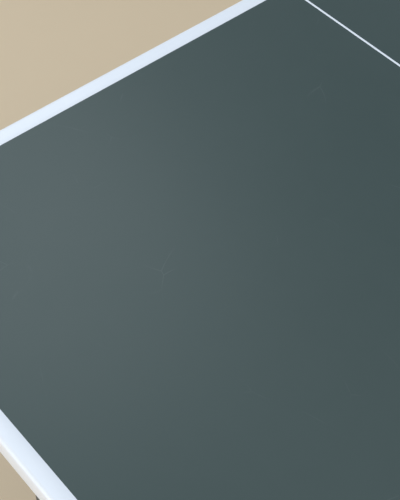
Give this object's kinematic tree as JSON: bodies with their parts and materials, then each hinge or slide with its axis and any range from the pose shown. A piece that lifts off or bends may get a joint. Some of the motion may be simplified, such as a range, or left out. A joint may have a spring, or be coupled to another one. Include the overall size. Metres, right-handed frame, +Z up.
{
  "type": "ping pong table",
  "caption": "Compact roll-away ping pong table: two hinged playing halves with white lines and edges, folding leg frames on parallel links, a wheeled trolley and a removable net.",
  "frame": {"origin": "on the floor, under the middle of the net", "axes": "+X along the table's length, +Y across it, +Z up"},
  "size_m": [1.83, 1.3, 0.87],
  "materials": {
    "board": "matt painted fibreboard, dark blue-grey, with a fine sanded grain",
    "trim": "white satin coating on a thin edge profile",
    "frame": "charcoal powder coat",
    "linkage": "satin dark grey powder coat on flat plate",
    "bright": "zinc plated steel",
    "black_plastic": "moulded plastic, fine grain",
    "foot": "moulded rubber",
    "fork": "pressed zinc plated steel",
    "wheel": "grey rubber tread on a plastic centre",
    "pedal": "red moulded plastic",
    "net_post": "dark powder coat",
    "net": "knotted dark mesh",
    "tape": "white woven cotton tape"
  },
  "bodies": {
    "trolley": {"base_rails": "frame", "trolley_posts": "frame", "upper_rails": "frame", "cross_tubes": "frame", "net_beam": "frame", "trolley_caps": "black_plastic", "hinge_plates": "linkage", "net_sockets": "frame", "hook_brackets": "linkage"},
    "net_set": {"net_posts": "net_post", "net_post_caps": "black_plastic", "net_mesh": "net", "net_tape": "tape"},
    "knob_back": {"net_knob_back": "black_plastic"},
    "knob_front": {"net_knob_front": "black_plastic"},
    "half_right": {"top_panel_right": "board", "edge_trim_right": "trim", "side_rails_right": "frame", "end_rails_right": "frame", "stiffener_right": "frame", "pivot_bolts_right": "bright", "striker_right": "bright"},
    "legs_right": {"leg_axle_right": "frame", "leg_tubes_right": "frame", "leg_brace_right": "frame", "crank_plates_right": "linkage", "leg_plugs_right": "black_plastic"},
    "links_right": {"link_bars_right": "linkage"},
    "hook_right": {"storage_hook_right": "bright"},
    "half_left": {"top_panel_left": "board", "edge_trim_left": "trim", "side_rails_left": "frame", "end_rails_left": "frame", "stiffener_left": "frame", "pivot_bolts_left": "bright", "striker_left": "bright"},
    "legs_left": {"leg_axle_left": "frame", "leg_tubes_left": "frame", "leg_brace_left": "frame", "crank_plates_left": "linkage", "leg_plugs_left": "black_plastic"},
    "links_left": {"link_bars_left": "linkage"},
    "hook_left": {"storage_hook_left": "bright"},
    "foot_back_right": {"foot_back_right": "foot"},
    "caster_back_right": {"caster_fork_back_right": "fork"},
    "wheel_back_right": {"caster_wheel_back_right": "wheel"},
    "pedal_back_right": {"brake_pedal_back_right": "pedal"},
    "foot_front_right": {"foot_front_right": "foot"},
    "caster_front_right": {"caster_fork_front_right": "fork"},
    "wheel_front_right": {"caster_wheel_front_right": "wheel"},
    "pedal_front_right": {"brake_pedal_front_right": "pedal"},
    "foot_back_left": {"foot_back_left": "foot"},
    "caster_back_left": {"caster_fork_back_left": "fork"},
    "wheel_back_left": {"caster_wheel_back_left": "wheel"},
    "pedal_back_left": {"brake_pedal_back_left": "pedal"},
    "foot_front_left": {"foot_front_left": "foot"},
    "caster_front_left": {"caster_fork_front_left": "fork"},
    "wheel_front_left": {"caster_wheel_front_left": "wheel"},
    "pedal_front_left": {"brake_pedal_front_left": "pedal"}
  },
  "joints": [
    {"name": "fold_right", "type": "hinge", "parent": "trolley", "child": "half_right", "pos_m": [0.18, 0, 0.735], "axis": [0, -1, 0], "range_deg": [0, 90]},
    {"name": "legs_fold_right", "type": "hinge", "parent": "half_right", "child": "legs_right", "pos_m": [0.795, 0, 0.735], "axis": [0, -1, 0], "range_deg": [-90, 0]},
    {"name": "links_swing_right", "type": "hinge", "parent": "trolley", "child": "links_right", "pos_m": [0.21, 0, 0.675], "axis": [0, -1, 0], "range_deg": [0, 90]},
    {"name": "hook_turn_right", "type": "hinge", "parent": "trolley", "child": "hook_right", "pos_m": [0.262, 0, 0.587], "axis": [0, -1, 0], "range_deg": [0, 90]},
    {"name": "fold_left", "type": "hinge", "parent": "trolley", "child": "half_left", "pos_m": [-0.18, 0, 0.735], "axis": [0, 1, 0], "range_deg": [0, 90]},
    {"name": "legs_fold_left", "type": "hinge", "parent": "half_left", "child": "legs_left", "pos_m": [-0.795, 0, 0.735], "axis": [0, 1, 0], "range_deg": [-90, 0]},
    {"name": "links_swing_left", "type": "hinge", "parent": "trolley", "child": "links_left", "pos_m": [-0.21, 0, 0.675], "axis": [0, 1, 0], "range_deg": [0, 90]},
    {"name": "hook_turn_left", "type": "hinge", "parent": "trolley", "child": "hook_left", "pos_m": [-0.262, 0, 0.587], "axis": [0, 1, 0], "range_deg": [0, 90]},
    {"name": "net_height", "type": "slide", "parent": "trolley", "child": "net_set", "axis": [0, 0, 1], "range_m": [0, 0.015]},
    {"name": "knob_turn_back", "type": "hinge", "parent": "trolley", "child": "knob_back", "pos_m": [0, 0.627, 0.625], "axis": [0, 1, 0], "continuous": true},
    {"name": "knob_turn_front", "type": "hinge", "parent": "trolley", "child": "knob_front", "pos_m": [0, -0.627, 0.625], "axis": [0, -1, 0], "continuous": true},
    {"name": "foot_screw_back_right", "type": "slide", "parent": "legs_right", "child": "foot_back_right", "axis": [0, 0, -1], "range_m": [0, 0.012]},
    {"name": "swivel_back_right", "type": "hinge", "parent": "trolley", "child": "caster_back_right", "pos_m": [0.26, 0.4425, 0.09], "axis": [0, 0, 1], "continuous": true},
    {"name": "spin_back_right", "type": "hinge", "parent": "caster_back_right", "child": "wheel_back_right", "pos_m": [0.285, 0.4425, 0.0375], "axis": [0, 1, 0], "continuous": true},
    {"name": "brake_back_right", "type": "hinge", "parent": "caster_back_right", "child": "pedal_back_right", "pos_m": [0.31, 0.4425, 0.078], "axis": [0, 1, 0], "range_deg": [0, 15]},
    {"name": "foot_screw_front_right", "type": "slide", "parent": "legs_right", "child": "foot_front_right", "axis": [0, 0, -1], "range_m": [0, 0.012]},
    {"name": "swivel_front_right", "type": "hinge", "parent": "trolley", "child": "caster_front_right", "pos_m": [0.26, -0.4425, 0.09], "axis": [0, 0, 1], "continuous": true},
    {"name": "spin_front_right", "type": "hinge", "parent": "caster_front_right", "child": "wheel_front_right", "pos_m": [0.285, -0.4425, 0.0375], "axis": [0, 1, 0], "continuous": true},
    {"name": "brake_front_right", "type": "hinge", "parent": "caster_front_right", "child": "pedal_front_right", "pos_m": [0.31, -0.4425, 0.078], "axis": [0, 1, 0], "range_deg": [0, 15]},
    {"name": "foot_screw_back_left", "type": "slide", "parent": "legs_left", "child": "foot_back_left", "axis": [0, 0, -1], "range_m": [0, 0.012]},
    {"name": "swivel_back_left", "type": "hinge", "parent": "trolley", "child": "caster_back_left", "pos_m": [-0.26, 0.4425, 0.09], "axis": [0, 0, 1], "continuous": true},
    {"name": "spin_back_left", "type": "hinge", "parent": "caster_back_left", "child": "wheel_back_left", "pos_m": [-0.285, 0.4425, 0.0375], "axis": [0, 1, 0], "continuous": true},
    {"name": "brake_back_left", "type": "hinge", "parent": "caster_back_left", "child": "pedal_back_left", "pos_m": [-0.31, 0.4425, 0.078], "axis": [0, -1, 0], "range_deg": [0, 15]},
    {"name": "foot_screw_front_left", "type": "slide", "parent": "legs_left", "child": "foot_front_left", "axis": [0, 0, -1], "range_m": [0, 0.012]},
    {"name": "swivel_front_left", "type": "hinge", "parent": "trolley", "child": "caster_front_left", "pos_m": [-0.26, -0.4425, 0.09], "axis": [0, 0, 1], "continuous": true},
    {"name": "spin_front_left", "type": "hinge", "parent": "caster_front_left", "child": "wheel_front_left", "pos_m": [-0.285, -0.4425, 0.0375], "axis": [0, 1, 0], "continuous": true},
    {"name": "brake_front_left", "type": "hinge", "parent": "caster_front_left", "child": "pedal_front_left", "pos_m": [-0.31, -0.4425, 0.078], "axis": [0, -1, 0], "range_deg": [0, 15]}
  ],
  "couplings": [
    {"joint": "legs_fold_right", "follows": "fold_right", "ratio": -1},
    {"joint": "links_swing_right", "follows": "fold_right", "ratio": 1},
    {"joint": "legs_fold_left", "follows": "fold_left", "ratio": -1},
    {"joint": "links_swing_left", "follows": "fold_left", "ratio": 1}
  ]
}
